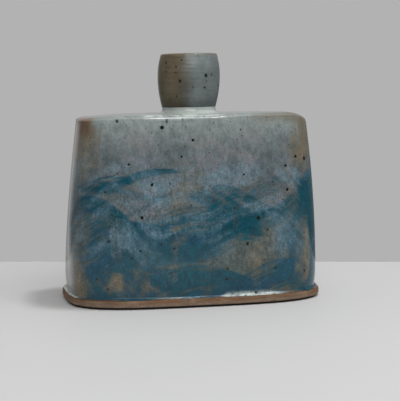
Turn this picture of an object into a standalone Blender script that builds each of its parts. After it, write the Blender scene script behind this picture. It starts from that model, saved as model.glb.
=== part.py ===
"""Slab-built stoneware bottle vase: flat wide body of four luted walls on a flanged base slab, with a turned neck.

Metres, +Z up. X runs along the vase's length, the front faces -Y, and the origin is the middle of the foot.
Every outline in plan is a rounded rectangle worked out as a superellipse, squarer at the left end.
"""

import math

import bmesh
import bpy

# The body.
BODY_LENGTH = 0.1548
BODY_DEPTH = 0.0830
SHOULDER_HEIGHT = 0.1140
WALL_THICKNESS = 0.0050
LEFT_LEAN = 0.0081
RIGHT_LEAN = 0.0075
LEFT_SAG = 0.0034
LEFT_BOW = 0.0022
FOOT_TUCK = 0.0008
FOOT_TUCK_HEIGHT = 0.0100
LEFT_EDGE_RADIUS = 0.0030
RIGHT_EDGE_RADIUS = 0.0078

# The base slab, which stands out past the walls as a bare flange.
BASE_THICKNESS = 0.0055
BASE_FLANGE = 0.0021
BASE_UNDERCUT = 0.0011
BASE_EDGE_SOFTENING = 0.0007

# The slab that closes the top.
SHOULDER_THICKNESS = 0.0055

# The neck, turned on the wheel, with a spigot that passes through the shoulder slab. It rises to the right.
NECK_HEIGHT = 0.0322
NECK_FOOT_RADIUS = 0.0165
NECK_BELLY_RADIUS = 0.0190
NECK_RIM_RADIUS = 0.0173
NECK_WALL = 0.0041
NECK_LIP_RADIUS = 0.0012
NECK_OFFSET = -0.0016
NECK_SLOPE_SHARE = 0.02
SPIGOT_WALL = 0.0025

# The collar, a coil of clay wrapped round the spigot between the neck and the shoulder slab.
COLLAR_HEIGHT = 0.0030
COLLAR_FLARE = 0.0011

# The coils pressed into the inside seams.
FOOT_COIL_LEG = 0.0060
SHOULDER_COIL_LEG = 0.0050
CORNER_COIL_THICKNESS = 0.0030

# Slip-thin gap left between any two pieces that are luted together.
JOINT_GAP = 0.0003

# Where the left end bows out most, across the vase, and half the width of the bow.
BOW_MIDDLE = -0.0100
BOW_HALF_WIDTH = 0.0210

# How square the plan's corners are: 2 is an ellipse, larger is squarer.
LEFT_POWER_AT_FOOT = 3.5
LEFT_POWER_AT_SHOULDER = 4.6
RIGHT_POWER_AT_FOOT = 3.1
RIGHT_POWER_AT_SHOULDER = 3.0
NEAR_LEFT_EXTRA_POWER = 3.2
LEAN_START_SHARE = 0.14
LEFT_LEAN_POWER = 1.4
RIGHT_LEAN_POWER = 2.0
SAG_START_SHARE = 0.3
BELLY_HEIGHT_SHARE = 0.6

# Between which shares of the height, and of the way out to the left, the bow comes in.
BOW_HEIGHT_SHARES = (0.08, 0.45)
BOW_LEFT_SHARES = (0.58, 0.78)

# Where the seams lie round the outline, as turns of its parameter, and how the meshes are divided.
CORNER_TURNS = (math.radians(45), math.radians(135), math.radians(225), math.radians(315))
CORNER_COIL_HALF_TURN = math.radians(5)
WALL_ROW_SHARES = (0, 0.03, 0.08, 0.2, 0.34, 0.48, 0.6, 0.71, 0.81, 0.89, 0.95, 0.98, 1)
LONG_WALL_COLUMNS = 22
END_WALL_COLUMNS = 18
SLAB_COLUMNS = 80
EDGE_ROWS = 6
TOP_FACE_SHARES = (0.25, 0.5, 0.75)
COIL_ARC_STEPS = 4
CORNER_COIL_COLUMNS = 4
CORNER_COIL_ROWS = 10
NECK_ARC_STEPS = 10
LIP_STEPS = 3
TURNED_COLUMNS = 56
SHARP_EDGE = math.radians(35)

# Heights of the seams, worked out from the sizes above.
WALL_BOTTOM = BASE_THICKNESS + JOINT_GAP
SLAB_UNDERSIDE = SHOULDER_HEIGHT - SHOULDER_THICKNESS
WALL_TOP = SLAB_UNDERSIDE - JOINT_GAP
COLLAR_BOTTOM = JOINT_GAP
NECK_FOOT = COLLAR_BOTTOM + COLLAR_HEIGHT + JOINT_GAP
SPIGOT_INNER_RADIUS = NECK_FOOT_RADIUS - NECK_WALL
SPIGOT_OUTER_RADIUS = SPIGOT_INNER_RADIUS + SPIGOT_WALL
NECK_HOLE_RADIUS = SPIGOT_OUTER_RADIUS + JOINT_GAP


def mix(low, high, share):
    """The value that lies at a share of the way from low to high."""
    return low + (high - low) * share


def height_share(z):
    """How far up the body a height lies, from 0 at the floor to 1 at the shoulder."""
    return min(1, max(0, z / SHOULDER_HEIGHT))


def rightness(turn):
    """How far to the right a place on the outline lies, from 0 at the left end to 1 at the right end."""
    return (1 + math.cos(turn)) / 2


def sag(x, z):
    """How far the body has sunk at a place: only towards the left end, and more the higher up."""
    beyond = max(0, -x / (BODY_LENGTH / 2) - SAG_START_SHARE) / (1 - SAG_START_SHARE)
    return LEFT_SAG * beyond**2 * height_share(z) ** 2


def smooth_share(shares, value):
    """A smooth step from 0 at the first share to 1 at the second."""
    low, high = shares
    share = min(1, max(0, (value - low) / (high - low)))
    return share * share * (3 - 2 * share)


def bow(x, y, z):
    """How far the left end stands out: a parabola on its near side, a softer arch on its far side."""
    across = (y - BOW_MIDDLE) / BOW_HALF_WIDTH
    arch = max(0, 1 - across**2)
    if across > 0:
        arch = arch**2
    to_left = smooth_share(BOW_LEFT_SHARES, -x / (BODY_LENGTH / 2))
    return LEFT_BOW * arch * to_left * smooth_share(BOW_HEIGHT_SHARES, height_share(z))


def outline_point(turn, inset, z):
    """A point of the plan outline: the ellipse point pushed out by a superellipse of the corner's power.

    The near left corner is squarer than the far one, the more so the higher up, and the left end bows out.
    """
    up = height_share(z)
    cosine, sine = math.cos(turn), math.sin(turn)
    nearness = (1 - sine) / 2
    left_power_above = LEFT_POWER_AT_SHOULDER + NEAR_LEFT_EXTRA_POWER * nearness
    left_power = mix(LEFT_POWER_AT_FOOT, left_power_above, up)
    right_power = mix(RIGHT_POWER_AT_FOOT, RIGHT_POWER_AT_SHOULDER, up)
    power = mix(left_power, right_power, rightness(turn))
    push = (abs(cosine) ** power + abs(sine) ** power) ** (-1 / power)
    half_length = BODY_LENGTH / 2 - inset
    half_depth = BODY_DEPTH / 2 - inset
    x, y = half_length * push * cosine, half_depth * push * sine
    x -= bow(x, y, z)
    return (x, y, z - sag(x, z))


def lean(turn, z):
    """How far the walls have leaned in by a height: nothing near the foot, then ever more towards the top."""
    above = max(0, height_share(z) - LEAN_START_SHARE) / (1 - LEAN_START_SHARE)
    power = mix(LEFT_LEAN_POWER, RIGHT_LEAN_POWER, rightness(turn))
    return mix(LEFT_LEAN, RIGHT_LEAN, rightness(turn)) * above**power


def edge_radius(turn):
    """The radius of the soft top edge, small at the left end and large at the right end."""
    return mix(LEFT_EDGE_RADIUS, RIGHT_EDGE_RADIUS, rightness(turn))


def edge_inset(turn, z):
    """How far the soft top edge has rolled in by a height, along a quarter circle that ends on the top."""
    radius = edge_radius(turn)
    above = min(radius, max(0, z - (SHOULDER_HEIGHT - radius)))
    return radius - math.sqrt(radius**2 - above**2)


def foot_inset(z):
    """How far the wall is tucked in just above the base slab."""
    below = max(0, 1 - (z - WALL_BOTTOM) / FOOT_TUCK_HEIGHT)
    return FOOT_TUCK * below**2


def outside_point(turn, z):
    """A point of the body's outer face, on the walls and on the edge of the shoulder slab alike."""
    return outline_point(turn, lean(turn, z) + edge_inset(turn, z) + foot_inset(z), z)


def inside_point(turn, z, depth=0.0):
    """A point at a depth inwards from the inner face of the walls."""
    return outline_point(turn, lean(turn, z) + WALL_THICKNESS + depth, z)


def material(name, colour, roughness):
    """A plain finish for one kind of piece."""
    made = bpy.data.materials.new(name)
    made.use_nodes = True
    shader = made.node_tree.nodes["Principled BSDF"]
    shader.inputs["Base Color"].default_value = (*colour, 1)
    shader.inputs["Roughness"].default_value = roughness
    shader.inputs["Metallic"].default_value = 0
    return made


def add_piece(name, mesh, finish, parent):
    """Puts a finished mesh into the scene as one named piece."""
    mesh.materials.append(finish)
    piece = bpy.data.objects.new(name, mesh)
    piece.parent = parent
    bpy.context.scene.collection.objects.link(piece)
    return piece


def loft(name, rings, joined_round=False):
    """A closed skin through rings of points. The last ring meets the first, or both ends are capped."""
    shape = bmesh.new()
    loops = [[shape.verts.new(point) for point in ring] for ring in rings]
    nexts = loops[1:] + loops[:1] if joined_round else loops[1:]
    for near, far in zip(loops, nexts):
        for i in range(len(near)):
            j = (i + 1) % len(near)
            shape.faces.new((near[i], near[j], far[j], far[i]))
    if not joined_round:
        shape.faces.new(loops[0])
        shape.faces.new(loops[-1])
    bmesh.ops.recalc_face_normals(shape, faces=shape.faces)
    mesh = bpy.data.meshes.new(name)
    shape.to_mesh(mesh)
    shape.free()
    mesh.shade_smooth()
    mesh.set_sharp_from_angle(angle=SHARP_EDGE)
    return mesh


def full_round(columns):
    """Evenly spaced turns once round the outline."""
    return [2 * math.pi * i / columns for i in range(columns)]


def base_slab():
    """The base: the foot's outline with the flange added, undercut below and softened above."""
    rows = (
        (BASE_UNDERCUT, 0),
        (0, BASE_UNDERCUT),
        (0, BASE_THICKNESS - BASE_EDGE_SOFTENING),
        (BASE_EDGE_SOFTENING, BASE_THICKNESS),
    )
    return loft("base_slab", [
        [outline_point(turn, inset - BASE_FLANGE, z) for turn in full_round(SLAB_COLUMNS)]
        for inset, z in rows
    ])


def wall(name, start, end, columns):
    """One wall from mitred seam to mitred seam: its section is carried round the outline from start to end."""
    seam_turn = JOINT_GAP / BODY_DEPTH
    heights = [mix(WALL_BOTTOM, WALL_TOP, share) for share in WALL_ROW_SHARES]
    sections = []
    for i in range(columns + 1):
        turn = mix(start + seam_turn, end - seam_turn, i / columns)
        outside = [outside_point(turn, z) for z in heights]
        inside = [inside_point(turn, z) for z in reversed(heights)]
        sections.append(outside + inside)
    return loft(name, sections)


def neck_circle(radius, z):
    """A level circle about the neck's axis."""
    return [
        (NECK_OFFSET + radius * math.cos(turn), radius * math.sin(turn), z)
        for turn in full_round(SLAB_COLUMNS)
    ]


def shoulder_slab():
    """The top slab: a round hole for the neck's spigot, the body's soft outer edge, and faces that sag with it."""
    below = neck_circle(NECK_HOLE_RADIUS, SLAB_UNDERSIDE)
    above = neck_circle(NECK_HOLE_RADIUS, SHOULDER_HEIGHT)
    edges = []
    for row in range(EDGE_ROWS + 1):
        z = SLAB_UNDERSIDE + SHOULDER_THICKNESS * math.sin(math.pi / 2 * row / EDGE_ROWS)
        edges.append([outside_point(turn, z) for turn in full_round(SLAB_COLUMNS)])

    def face_ring(inner, outer, share, z):
        """A ring part of the way out across a face, sunk as far as the body is there."""
        ring = []
        for near, far in zip(inner, outer):
            x, y = mix(near[0], far[0], share), mix(near[1], far[1], share)
            ring.append((x, y, z - sag(x, z)))
        return ring

    underside = [face_ring(below, edges[0], share, SLAB_UNDERSIDE) for share in TOP_FACE_SHARES]
    top_face = [face_ring(above, edges[-1], share, SHOULDER_HEIGHT) for share in reversed(TOP_FACE_SHARES)]
    return loft("shoulder_slab", [below] + underside + edges + top_face + [above], joined_round=True)


def seam_coil(name, seam_height, leg, upwards):
    """A coil smoothed into the angle between the walls and a slab, with a hollowed inner face."""
    grows = 1 if upwards else -1
    corner = seam_height + grows * JOINT_GAP
    section = [(0, 0)]
    for i in range(COIL_ARC_STEPS + 1):
        swing = math.pi / 2 * i / COIL_ARC_STEPS
        section.append((leg - leg * math.sin(swing), leg - leg * math.cos(swing)))
    return loft(name, [
        [inside_point(turn, corner + grows * up, JOINT_GAP + inwards) for turn in full_round(SLAB_COLUMNS)]
        for inwards, up in section
    ], joined_round=True)


def corner_coil(name, seam):
    """A flat coil pressed over the inside of a mitred seam, between the foot coil and the shoulder coil."""
    bottom = BASE_THICKNESS + JOINT_GAP + FOOT_COIL_LEG + JOINT_GAP
    top = SLAB_UNDERSIDE - JOINT_GAP - SHOULDER_COIL_LEG - JOINT_GAP
    across = [2 * i / CORNER_COIL_COLUMNS - 1 for i in range(CORNER_COIL_COLUMNS + 1)]
    rings = []
    for row in range(CORNER_COIL_ROWS + 1):
        z = mix(bottom, top, row / CORNER_COIL_ROWS)
        against_wall = [inside_point(seam + CORNER_COIL_HALF_TURN * x, z, JOINT_GAP) for x in across]
        bulge = [
            inside_point(seam + CORNER_COIL_HALF_TURN * x, z, JOINT_GAP + CORNER_COIL_THICKNESS * (1 - x * x))
            for x in reversed(across[1:-1])
        ]
        rings.append(against_wall + bulge)
    return loft(name, rings)


def turned_point(turn, radius, rise):
    """A point of a turned piece on the shoulder, sloped above the collar's foot as the neck is."""
    sideways = radius * math.cos(turn)
    share = min(1, max(0, (rise - COLLAR_BOTTOM) / COLLAR_HEIGHT))
    slope = NECK_SLOPE_SHARE * sideways * share
    return (NECK_OFFSET + sideways, radius * math.sin(turn), SHOULDER_HEIGHT + rise + slope)


def turned(name, profile):
    """Turns a closed profile of (radius, height above the shoulder) points once round the neck's axis."""
    return loft(name, [
        [turned_point(turn, radius, rise) for turn in full_round(TURNED_COLUMNS)]
        for radius, rise in profile
    ], joined_round=True)


def neck_radius(share):
    """The barrel's outer radius at a share of the neck's height, along a parabola either side of its belly."""
    if share < BELLY_HEIGHT_SHARE:
        away = 1 - share / BELLY_HEIGHT_SHARE
        return mix(NECK_BELLY_RADIUS, NECK_FOOT_RADIUS, away**2)
    away = (share - BELLY_HEIGHT_SHARE) / (1 - BELLY_HEIGHT_SHARE)
    return mix(NECK_BELLY_RADIUS, NECK_RIM_RADIUS, away**2)


def lip_arc(middle_radius, first, last):
    """A quarter of the lip's rounding, from one angle to another."""
    middle_rise = NECK_FOOT + NECK_HEIGHT - NECK_LIP_RADIUS
    angles = [mix(first, last, i / LIP_STEPS) for i in range(LIP_STEPS + 1)]
    return [
        (middle_radius + NECK_LIP_RADIUS * math.cos(a), middle_rise + NECK_LIP_RADIUS * math.sin(a))
        for a in angles
    ]


def neck():
    """The neck: a barrel with a rounded lip, an open bore and a spigot down through the shoulder slab."""
    lip_share = 1 - NECK_LIP_RADIUS / NECK_HEIGHT
    shares = [lip_share * (1 - i / NECK_ARC_STEPS) for i in range(1, NECK_ARC_STEPS + 1)]
    outside = [(neck_radius(share), NECK_FOOT + NECK_HEIGHT * share) for share in shares]
    inside = [(radius - NECK_WALL, rise) for radius, rise in reversed(outside)]
    spigot = [
        (SPIGOT_OUTER_RADIUS, NECK_FOOT),
        (SPIGOT_OUTER_RADIUS, -SHOULDER_THICKNESS),
        (SPIGOT_INNER_RADIUS, -SHOULDER_THICKNESS),
    ]
    outer_lip = neck_radius(lip_share) - NECK_LIP_RADIUS
    inner_lip = neck_radius(lip_share) - NECK_WALL + NECK_LIP_RADIUS
    over = lip_arc(outer_lip, math.pi / 2, 0)
    back = lip_arc(inner_lip, math.pi, math.pi / 2)
    return turned("neck", over + outside + spigot + inside + back)


def neck_collar():
    """The collar: a ring round the spigot that flares out to the shoulder slab."""
    top = COLLAR_BOTTOM + COLLAR_HEIGHT
    middle = COLLAR_BOTTOM + COLLAR_HEIGHT / 2
    return turned("neck_collar", [
        (NECK_FOOT_RADIUS, top),
        (NECK_FOOT_RADIUS + COLLAR_FLARE / 4, middle),
        (NECK_FOOT_RADIUS + COLLAR_FLARE, COLLAR_BOTTOM),
        (NECK_HOLE_RADIUS, COLLAR_BOTTOM),
        (NECK_HOLE_RADIUS, top),
    ])


def main():
    """Clears the scene and models the vase."""
    for thing in list(bpy.data.objects):
        bpy.data.objects.remove(thing)
    vase = bpy.data.objects.new("vase", None)
    bpy.context.scene.collection.objects.link(vase)

    bare_clay = material("bare_stoneware", (0.34, 0.22, 0.15), 0.85)
    body_glaze = material("body_glaze", (0.14, 0.24, 0.29), 0.25)
    shoulder_glaze = material("shoulder_glaze", (0.33, 0.38, 0.36), 0.25)
    collar_glaze = material("collar_glaze", (0.40, 0.45, 0.43), 0.2)
    neck_glaze = material("neck_glaze", (0.22, 0.22, 0.17), 0.45)
    inner_clay = material("inner_stoneware", (0.36, 0.28, 0.21), 0.9)

    add_piece("base_slab", base_slab(), bare_clay, vase)
    back_right, back_left, front_left, front_right = CORNER_TURNS
    walls = (
        ("back_wall", back_right, back_left, LONG_WALL_COLUMNS),
        ("left_end_wall", back_left, front_left, END_WALL_COLUMNS),
        ("front_wall", front_left, front_right, LONG_WALL_COLUMNS),
        ("right_end_wall", front_right, back_right + 2 * math.pi, END_WALL_COLUMNS),
    )
    for name, start, end, columns in walls:
        add_piece(name, wall(name, start, end, columns), body_glaze, vase)
    add_piece("shoulder_slab", shoulder_slab(), shoulder_glaze, vase)
    add_piece("neck_collar", neck_collar(), collar_glaze, vase)
    add_piece("neck", neck(), neck_glaze, vase)

    add_piece("foot_coil", seam_coil("foot_coil", BASE_THICKNESS, FOOT_COIL_LEG, True), inner_clay, vase)
    shoulder_coil = seam_coil("shoulder_coil", SLAB_UNDERSIDE, SHOULDER_COIL_LEG, False)
    add_piece("shoulder_coil", shoulder_coil, inner_clay, vase)
    for corner, seam in zip(("back_right", "back_left", "front_left", "front_right"), CORNER_TURNS):
        name = corner + "_corner_coil"
        add_piece(name, corner_coil(name, seam), inner_clay, vase)


main()
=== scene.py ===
"""Glazes, bare clay and studio for a slab-built stoneware bottle vase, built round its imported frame."""

import math

import bpy
import numpy as np
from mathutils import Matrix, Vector


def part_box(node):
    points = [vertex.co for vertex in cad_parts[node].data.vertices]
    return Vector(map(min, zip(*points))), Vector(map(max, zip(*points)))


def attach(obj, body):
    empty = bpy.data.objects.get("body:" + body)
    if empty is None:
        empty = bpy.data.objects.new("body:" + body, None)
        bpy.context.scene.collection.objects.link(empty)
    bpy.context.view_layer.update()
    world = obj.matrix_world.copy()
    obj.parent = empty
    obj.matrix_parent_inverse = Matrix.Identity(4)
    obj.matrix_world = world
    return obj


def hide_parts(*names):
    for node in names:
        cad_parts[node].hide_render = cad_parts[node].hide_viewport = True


bl_info = {
    "name": "Slab Bottle Vase",
    "version": (1, 0, 0),
    "blender": (4, 5, 0),
    "location": "View3D > Sidebar > Vase",
    "description": "Glaze, clay and studio for a slab-built bottle vase, built round its frame",
    "category": "Add Mesh",
}

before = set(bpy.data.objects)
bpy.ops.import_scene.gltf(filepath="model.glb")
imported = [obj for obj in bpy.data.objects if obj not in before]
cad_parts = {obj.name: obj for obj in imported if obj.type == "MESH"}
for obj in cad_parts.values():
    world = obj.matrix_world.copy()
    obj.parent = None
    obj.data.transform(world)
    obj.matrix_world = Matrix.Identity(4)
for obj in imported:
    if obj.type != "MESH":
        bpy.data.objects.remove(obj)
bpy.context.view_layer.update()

MM = 0.001

BASE_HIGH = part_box("base_slab")[1]
SHOULDER_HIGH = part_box("shoulder_slab")[1]
COLLAR_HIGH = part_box("neck_collar")[1]
NECK_LOW, NECK_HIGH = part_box("neck")

# The plan's corners: 2 is an ellipse, larger is squarer.
LEFT_POWER_AT_FOOT, LEFT_POWER_AT_SHOULDER = 3.5, 4.6
RIGHT_POWER_AT_FOOT, RIGHT_POWER_AT_SHOULDER = 3.1, 3.0
NEAR_LEFT_EXTRA_POWER = 3.2

# From which share of the height the walls lean in, and from which share of its half length the body sags.
LEAN_START_SHARE, LEFT_LEAN_POWER, RIGHT_LEAN_POWER = 0.14, 1.4, 2.0
SAG_START_SHARE = 0.3

# How many rows each stretch of the body's skin has.
ROLL_ROWS, WALL_ROWS, EDGE_ROWS, FACE_ROWS, INNER_ROWS = 11, 114, 10, 12, 14
WALL_END = ROLL_ROWS + WALL_ROWS
OUTER_ROWS = WALL_END + EDGE_ROWS + FACE_ROWS

# Where the bead lies across the glaze on the foot's flange, from the wall, and its half width squared.
BEAD_SHARE, BEAD_WIDTH_SHARE = 0.7, 0.06

# How far across the foot's flange the glaze reaches.
GLAZE_REACH = 0.6

# The glaze's gap over the foot slab, the skin's inside over it, and how high up the walls draw in.
GLAZE_GAP, FLOOR_GAP, TUCK_HEIGHT = 0.05 * MM, 0.3 * MM, 10 * MM

# How much narrower the hole in the shoulder is than the collar, and the neck's spigot than the hole.
COLLAR_OVERLAP, SPIGOT_GAP = 2.0 * MM, 0.3 * MM

# The foot slab's profile from the middle of its underside to that of its top: inset and height, in mm.
FOOT_PROFILE = (
    (36, 0), (20, 0), (8, 0), (2.4, 0), (1.6, 0), (1.3, 0.25), (1.15, 0.9), (0.8, 1.2), (0.2, 1.5),
    (0.02, 2.0), (0.02, 2.8), (0.02, 3.6), (0.03, 4.3),
    (0.12, 4.6), (0.35, 5.05), (0.8, 5.38), (1.4, 5.5), (8, 5.5), (20, 5.5), (36, 5.5),
)

# Where the left end bows out most, across the vase, and half the width of the bow.
BOW_MIDDLE, BOW_HALF_WIDTH = -10 * MM, 21 * MM

# Thin places that show tan on the front: x and z of the middle, half width and half height in mm, strength.
THIN_PLACES = (
    (-73, 13, 5.5, 9, 1.2),
    (57, 86, 10, 20, 0.75),
    (-54, 16, 9, 7, 0.9),
    (-34, 11, 8, 5, 0.65),
    (-20, 38, 10, 5, 0.5),
    (28, 30, 9, 5, 0.5),
)

# Where the slip has worn thin on the left end: y and z of the middle, half width and half height, in mm.
WORN_PLACE = 16, 70, 20, 9

# How far a place must face the front or the left to count as front or left, from not at all to fully.
FRONT_FACING, LEFT_FACING = (0.2, -0.2), (0.45, 0.85)

# Where marks lie along the body, in mm: where each starts, is full, starts to fade and ends.
# The glint is a painted highlight along the top's front edge; the roll and the end pool are pooled pale glaze
# on the foot's ledge that also paint a highlight there.
ROLL_ALONG, GLINT_ALONG, PUDDLE_ALONG = (5, 12, 36, 58), (-40, -32, 8, 14), (-76, -73, -63, -58)
END_POOL, DULL_LEFT, DULL_RIGHT = (-73, -77), (-30, -40), (9, 15, 58, 64)

# The same up the body's skin, in rows from the end of the wall.
# The glint's rows are those of the painted highlight on the top's front edge.
BROW_ROWS, GLINT_ROWS, DULL_ROWS = (-5, -1, 2, 6), (1, 4, 6, 9), (-6, 0, 11, 16)

# The same for the tan line on the near right bend: shares of the height, and how far the wall faces right.
LINE_UP, LINE_BEND = (0.07, 0.12, 0.34, 0.5), (0.36, 0.46, 0.52, 0.62)

# Heights above the floor, in metres, from where a change in the body's glaze starts to where it is full.
PALE_TO_HAZE, HAZE_TO_DARK, LEFT_END_FADE = (0.112, 0.084), (0.078, 0.034), (0.03, 0.07)
WARM_LOW, WARM_HIGH, CALM = (0.02, 0.06), (0.112, 0.095), (0.108, 0.05)
VEIL_LOW, VEIL_HIGH, TICKS_LOW = (0.016, 0.045), (0.1, 0.075), (0.1, 0.106)

# Where along the body its left end begins, and how much lower the pale glaze reaches there.
LEFT_END, LEFT_END_DROP = (-66 * MM, -71 * MM), 17 * MM

# Most of a noise's values lie in this span.
NOISE_LOW, NOISE_HIGH = 0.3, 0.7

# What the noise of the glaze and the brush starts from, and how many cells it has.
SWEEP_SEED, PATCH_SEED, STRAY_SEED = 23, 5, 11
PATCH_ROWS, STREAK_CELLS = 64, 97

# The spans from which a sweep draws the length of its wave, in mm, and its climb, as a slope.
SWEEP_WAVE, SWEEP_CLIMB = (70, 120), (-0.05, 0.16)

# How much of the pot's girth the brushwork's noise sees, so that it is drawn out along the sweeps.
FLOW_SHARE = 0.13

# Patches of chance in the order in which they are drawn: how many to the round, and how tall in mm.
PATCHES = (
    ("arris", 24, 14), ("right_edge", 30, 30), ("brown", 40, 6), ("runs", 34, 26), ("gaps", 40, 24),
    ("pooled", 18, 40), ("rim", 36, 40),
)
STRAYS = (("skin", 36, 22), ("along", 60, 11), ("up", 60, 11))

# How far placed marks stray, in mm, where the near side begins, how far that strays, and the right part.
PLACE_STRAY, NEAR_SIDE, NEAR_STRAY, RIGHT_PART = 15, (16, -18), 50, (0.25, 0.5)

# Each piece's columns, and the rows of the neck's outside, its lip, its bore and the collar.
BODY_COLUMNS, FOOT_COLUMNS, NECK_COLUMNS, COLLAR_COLUMNS = 540, 480, 300, 240
NECK_ROWS, LIP_ROWS, BORE_ROWS, COLLAR_ROWS = 90, 13, 40, 18

# The frame of the photograph, in its pixels, which the camera matches.
FRAME_HEIGHT = 401
HORIZON_ROW = 88.0
FOCAL_PIXELS = 1131.2
SENSOR = 36.0

# What the lamps are aimed at, and how far the floor reaches to its sides and to the front, in metres.
LAMP_AIM = Vector((0, 0, 0.08))
FLOOR_REACH = 2.5

# The sky's two glows: how far a ray points their way at their start and in full, and the strengths there.
OVERHEAD_GLOW, BEHIND_GLOW, BEHIND_WAY = (0.1, 0.9, 0.16, 0.55), (0.86, 0.975, 0.0, 0.26), (-0.22, 0.97, 0.1)


def millimetres(name, description, size):
    """A length that a user may change, given in mm."""
    return bpy.props.FloatProperty(name=name, description=description, default=size * MM, unit="LENGTH")


def number(name, description, value):
    """A plain number that a user may change."""
    return bpy.props.FloatProperty(name=name, description=description, default=value)


def tint(name, description, *colour):
    """A colour that a user may change, as linear red, green and blue."""
    return bpy.props.FloatVectorProperty(name=name, description=description, subtype="COLOR", default=colour)


class BodySizes(bpy.types.PropertyGroup):
    """The glazed body, which stands on the foot slab and is closed by the shoulder."""

    flange: millimetres("Flange", "How far the foot slab stands out past the walls", 2.1)
    wall: millimetres("Wall", "Thickness of the walls", 5.0)
    left_lean: millimetres("Left lean", "How far the left end leans in at the top", 8.1)
    right_lean: millimetres("Right lean", "How far the right end leans in at the top", 7.5)
    left_sag: millimetres("Left sag", "How far the top has sunk at the left end", 3.05)
    level: millimetres("Top level", "How far the middle of the top lies under the frame's highest point", 0.6)
    tilt: number("Top tilt", "How much the top rises towards the right, as a share of its length", 0.009)
    bow: millimetres("End bow", "How far the left end bows out", 2.2)
    crisp_drop: millimetres("Crisp drop", "How far the top edge falls where it is crisp", 1.3)
    front_drop: millimetres("Front drop", "How far the top edge falls where it is soft, before the neck", 2.7)
    right_drop: millimetres("Right drop", "How far the top edge falls at the right end", 6.2)
    edge_spread: number("Edge spread", "How far in the crowned edge reaches, as a multiple of its fall", 3.3)
    right_spread: number("Right spread", "The same at the right end, where the edge is rounder", 1.75)
    foot_tuck: millimetres("Foot tuck", "How far the walls draw in just above the foot", 0.8)
    roll: millimetres("Glaze roll", "Height of the roll of glaze along the foot's joint", 1.3)
    bead: millimetres("Glaze bead", "Height of the bead in which the glaze ends on the foot", 0.4)
    wobble: millimetres("Wobble", "How far the hand-built walls stray from true", 0.35)


class NeckSizes(bpy.types.PropertyGroup):
    """The neck that was turned on the wheel, and the pool of glaze round its foot."""

    foot_radius: millimetres("Foot radius", "Outer radius at the neck's foot", 16.5)
    belly_radius: millimetres("Belly radius", "Largest outer radius", 19.0)
    rim_radius: millimetres("Rim radius", "Outer radius at the rim", 17.3)
    wall: millimetres("Wall", "Thickness of the neck's wall", 4.1)
    slope: number("Slope", "How much the rim rises towards the right, as a share of its width", 0.02)
    ring_pitch: millimetres("Ring pitch", "Distance from one throwing ring to the next", 2.3)
    ring_depth: millimetres("Ring depth", "Depth of the throwing rings", 0.018)


class GlazeColours(bpy.types.PropertyGroup):
    """The colours of the glazes, the slip and the clay."""

    pale: tint("Pale glaze", "Thick glaze over bare clay, near the top", 0.215, 0.25, 0.243)
    # The pooled glaze's colour also paints the body's highlights on its top edge and foot ledge.
    pool: tint("Pooled glaze", "The thickest glaze, round the neck's foot", 0.5, 0.55, 0.52)
    haze: tint("Hazy glaze", "The greyer glaze of the middle", 0.1, 0.12, 0.127)
    ground: tint("Low glaze", "The darker glaze between the sweeps, near the foot", 0.064, 0.084, 0.078)
    teal: tint("Thin slip", "The slip where the brush left little", 0.0, 0.055, 0.079)
    blue: tint("Thick slip", "The slip where the brush left much", 0.0, 0.05, 0.091)
    milk: tint("Milky veil", "The pale veil where thick glaze has run over slip", 0.135, 0.22, 0.265)
    lilac: tint("Lilac veil", "The veil where it is thickest", 0.14, 0.19, 0.25)
    mauve: tint("Warm haze", "The warm grey clouds in the haze", 0.165, 0.15, 0.155)
    brown: tint("Brown brow", "The brown under the top edge at the left end", 0.14, 0.086, 0.054)
    tan: tint("Thin glaze", "The tan of thin glaze on edges and runs", 0.146, 0.12, 0.078)
    amber: tint("Amber break", "The orange tan where the glaze is thinnest", 0.21, 0.125, 0.062)
    iron: tint("Iron specks", "The iron that has bled through the glaze", 0.003, 0.0025, 0.002)
    olive: tint("Neck brown", "The neck's thin side", 0.118, 0.097, 0.06)
    slate: tint("Neck grey", "The neck's thick side", 0.128, 0.152, 0.15)
    clay: tint("Clay", "The bare fired clay", 0.208, 0.143, 0.097)
    rust: tint("Flash", "The orange line where glaze ends on bare clay", 0.145, 0.074, 0.035)


class StudioSettings(bpy.types.PropertyGroup):
    """The camera's place, the floor and the backdrop."""

    distance: millimetres("Distance", "From the camera to the vase", 700)
    turn: bpy.props.FloatProperty(
        name="Turn", description="How far the camera stands round to the left",
        default=math.radians(14.5), unit="ROTATION")
    height: millimetres("Height", "The camera's height above the floor", 128.75)
    aside: millimetres("Aside", "The camera's shift to its own right", 5.4)
    floor_back: millimetres("Floor's back edge", "How far behind the vase the floor ends", 134)
    floor_colour: tint("Floor", "The floor's colour", 0.54, 0.54, 0.54)
    backdrop: tint("Backdrop", "What shows behind the floor", 0.445, 0.445, 0.445)


def mix(low, high, share):
    """The value that lies at a share of the way from low to high."""
    return low + (high - low) * share


def smooth(low, high, value):
    """A smooth step from 0 at low to 1 at high."""
    share = np.clip((value - low) / (high - low), 0, 1)
    return share * share * (3 - 2 * share)


def within(value, start, full, last, end):
    """A smooth step up from start to full and down again from last to end."""
    return smooth(start, full, value) * smooth(end, last, value)


def full_round(columns):
    """Equal turns once round, one for each column."""
    return np.arange(columns) / columns * math.tau


def superellipse(turn, half_length, half_depth, up):
    """x and y of a rounded rectangle: the ellipse point divided by the root of |cos|^n + |sin|^n.

    n grows from the right end to the left end and with the height share up, most at the near left corner.
    """
    cosine, sine = np.cos(turn), np.sin(turn)
    near = (1 - sine) / 2
    left = mix(LEFT_POWER_AT_FOOT, LEFT_POWER_AT_SHOULDER + NEAR_LEFT_EXTRA_POWER * near, up)
    right = mix(RIGHT_POWER_AT_FOOT, RIGHT_POWER_AT_SHOULDER, up)
    power = mix(left, right, (1 + cosine) / 2)
    push = (np.abs(cosine) ** power + np.abs(sine) ** power) ** (-1 / power)
    return half_length * push * cosine, half_depth * push * sine


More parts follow.
